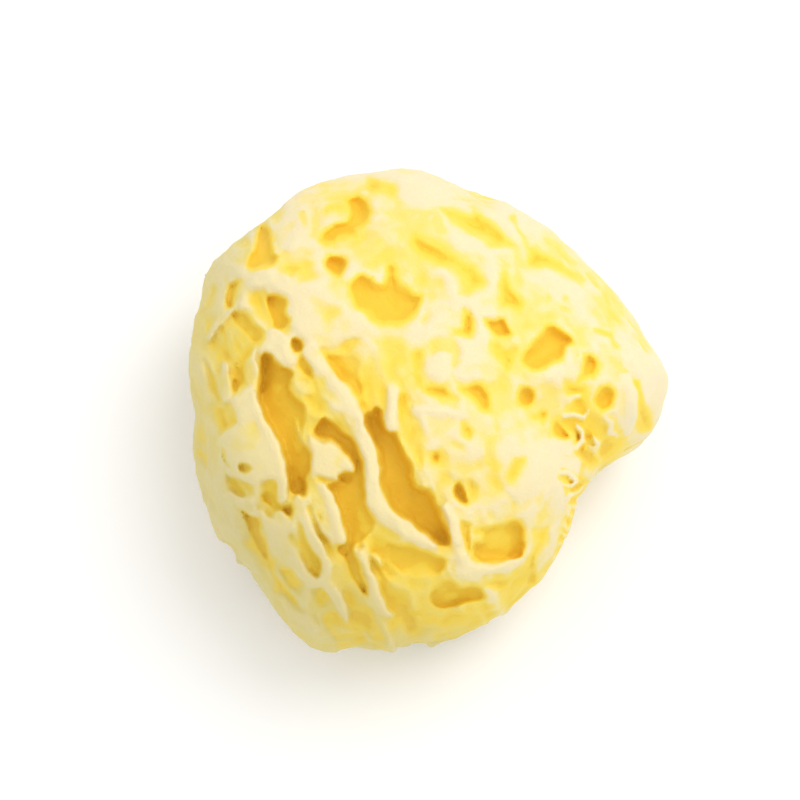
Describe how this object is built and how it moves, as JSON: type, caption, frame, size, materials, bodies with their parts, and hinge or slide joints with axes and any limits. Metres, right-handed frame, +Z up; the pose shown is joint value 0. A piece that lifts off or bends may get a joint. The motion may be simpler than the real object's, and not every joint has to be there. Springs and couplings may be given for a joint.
{
  "type": "natural sea sponge",
  "caption": "Domed natural sea sponge of one growth, with deep pits, winding valleys and thin ribs, cut flat underneath so that it rests on a surface.",
  "frame": {"origin": "middle of the flat cut underside, under the middle of the plan outline", "axes": "+Z up from the cut underside to the top of the dome, +X to the right and +Y away from someone who looks at it from the front"},
  "size_m": [0.1411, 0.1449, 0.0975],
  "materials": {
    "sponge": "soft and matt, pale cream on the crests, golden in the pits"
  },
  "bodies": {
    "root": {"sponge": "sponge"}
  },
  "joints": []
}
